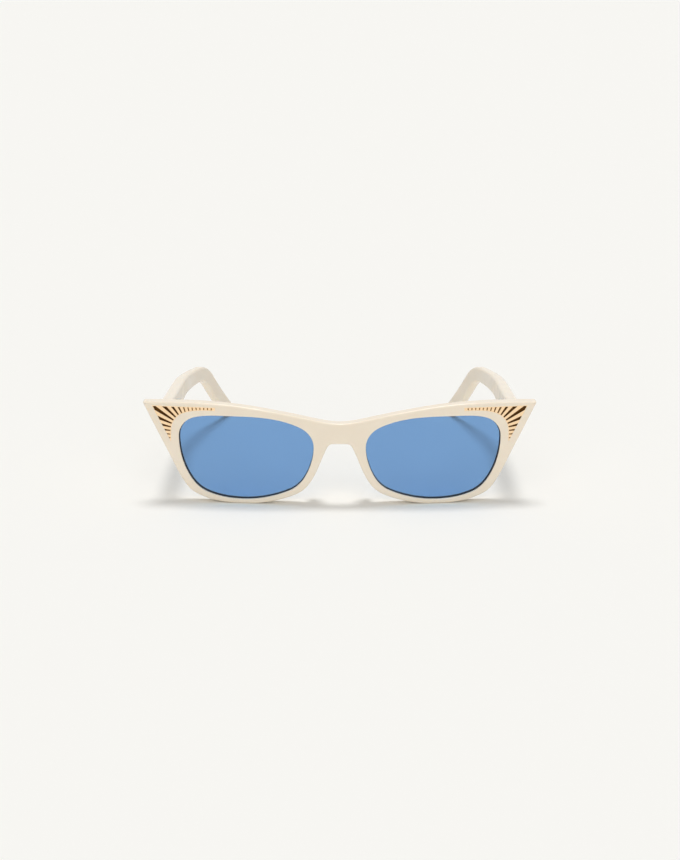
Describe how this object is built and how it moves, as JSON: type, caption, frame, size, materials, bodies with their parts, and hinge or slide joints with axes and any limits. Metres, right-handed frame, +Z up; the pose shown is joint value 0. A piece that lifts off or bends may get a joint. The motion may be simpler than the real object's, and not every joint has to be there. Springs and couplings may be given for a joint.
{
  "type": "cat eye sunglasses",
  "caption": "Pointed cat-eye sunglasses: glazed plastic front with sunray corner trim and two folding temples on screwed hinges.",
  "frame": {"origin": "middle of the footprint on the table the open sunglasses stand on", "axes": "+X towards the wearer's left, +Y from the front to the ear tips, +Z up"},
  "size_m": [0.1468, 0.1274, 0.0387],
  "materials": {
    "ivory_acetate": "polished cellulose acetate sheet",
    "blue_lens": "tinted, polished cast lens",
    "gold_trim": "stamped and gold plated, grooves darkened",
    "steel_hinge": "nickel silver, satin"
  },
  "bodies": {
    "front": {"front_frame": "ivory_acetate", "lens_left": "blue_lens", "lens_right": "blue_lens", "trim_left": "gold_trim", "trim_right": "gold_trim", "nose_pad_left": "ivory_acetate", "nose_pad_right": "ivory_acetate", "front_hinge_left": "steel_hinge", "front_hinge_right": "steel_hinge", "front_rivets_left": "steel_hinge", "front_rivets_right": "steel_hinge", "hinge_screw_left": "steel_hinge", "hinge_screw_right": "steel_hinge"},
    "left_temple": {"temple_left": "ivory_acetate", "temple_core_left": "steel_hinge", "temple_hinge_left": "steel_hinge", "temple_rivets_left": "steel_hinge"},
    "right_temple": {"temple_right": "ivory_acetate", "temple_core_right": "steel_hinge", "temple_hinge_right": "steel_hinge", "temple_rivets_right": "steel_hinge"}
  },
  "joints": [
    {"name": "left_fold", "type": "hinge", "parent": "front", "child": "left_temple", "pos_m": [0.06055, -0.05212, 0.0332], "axis": [0, 0, 1], "range_deg": [0, 84]},
    {"name": "right_fold", "type": "hinge", "parent": "front", "child": "right_temple", "pos_m": [-0.06055, -0.05212, 0.0332], "axis": [0, 0, -1], "range_deg": [0, 74]}
  ]
}
